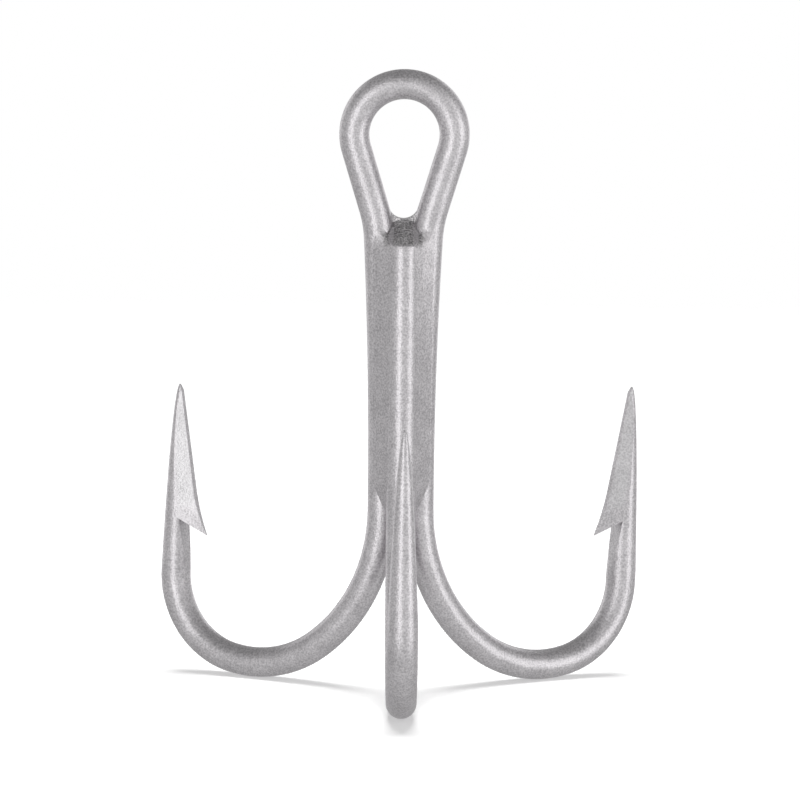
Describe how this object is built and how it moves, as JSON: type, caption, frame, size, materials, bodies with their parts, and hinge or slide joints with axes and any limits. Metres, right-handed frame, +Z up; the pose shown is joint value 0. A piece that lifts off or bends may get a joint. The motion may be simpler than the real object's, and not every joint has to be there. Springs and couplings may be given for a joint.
{
  "type": "treble fishing hook",
  "caption": "Treble fishing hook: a double hook bent with a teardrop line eye and a single hook brazed into the groove of its shank, with ground barbed points.",
  "frame": {"origin": "centre of the eye loop's round top, in the plane of the loop's wire", "axes": "+Z up along the shank away from the bends, +Y along the eye's hole away from the single hook, +X towards the right-hand point of the double hook"},
  "size_m": [0.0388, 0.0333, 0.0499],
  "materials": {
    "plated_wire": "satin plated steel wire",
    "plated_braze": "satin plating over braze"
  },
  "bodies": {
    "root": {"double_hook": "plated_wire", "single_hook": "plated_wire", "braze_front_left": "plated_braze", "braze_front_right": "plated_braze", "braze_rear": "plated_braze", "braze_neck": "plated_braze"}
  },
  "joints": []
}
